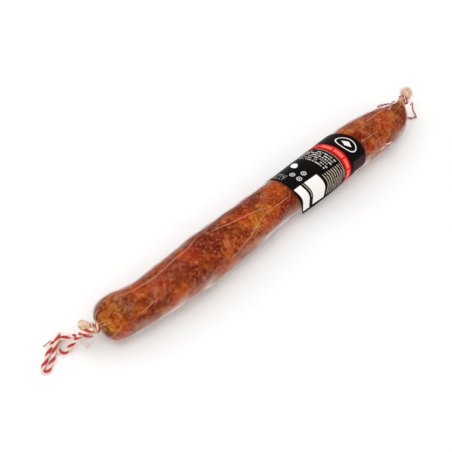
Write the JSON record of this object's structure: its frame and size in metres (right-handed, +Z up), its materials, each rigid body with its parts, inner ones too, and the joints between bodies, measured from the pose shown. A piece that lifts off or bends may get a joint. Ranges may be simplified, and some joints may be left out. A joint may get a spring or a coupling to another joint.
{
  "type": "cured sausage",
  "caption": "Long cured sausage in clear shrink film, tied at both necks with striped twine that ends in a hanging loop, with a printed band label.",
  "frame": {"origin": "on the resting surface under the middle of the object, measured without its free twine", "axes": "+Z up; +X along the sausage, from the end with the hanging loop to the other end; +Y to the side that the printed label's free edge faces away from"},
  "size_m": [0.5224, 0.066, 0.0531],
  "materials": {
    "cured_meat": "marbled cured meat in a natural gut casing, satin",
    "film": "clear shrink film, glossy, creased",
    "label_print": "black printed band with red and white marks, semi-gloss",
    "striped_twine": "two-ply cotton, one red ply and one cream ply",
    "thin_twine": "thin cotton, red and cream, frayed"
  },
  "bodies": {
    "root": {"sausage": "cured_meat", "clear_film": "film", "label": "label_print", "near_tie": "striped_twine", "hanging_loop": "striped_twine", "near_loose_thread": "striped_twine", "far_tie": "thin_twine", "far_top_end": "thin_twine", "far_back_end": "thin_twine", "far_hanging_end": "thin_twine"}
  },
  "joints": []
}
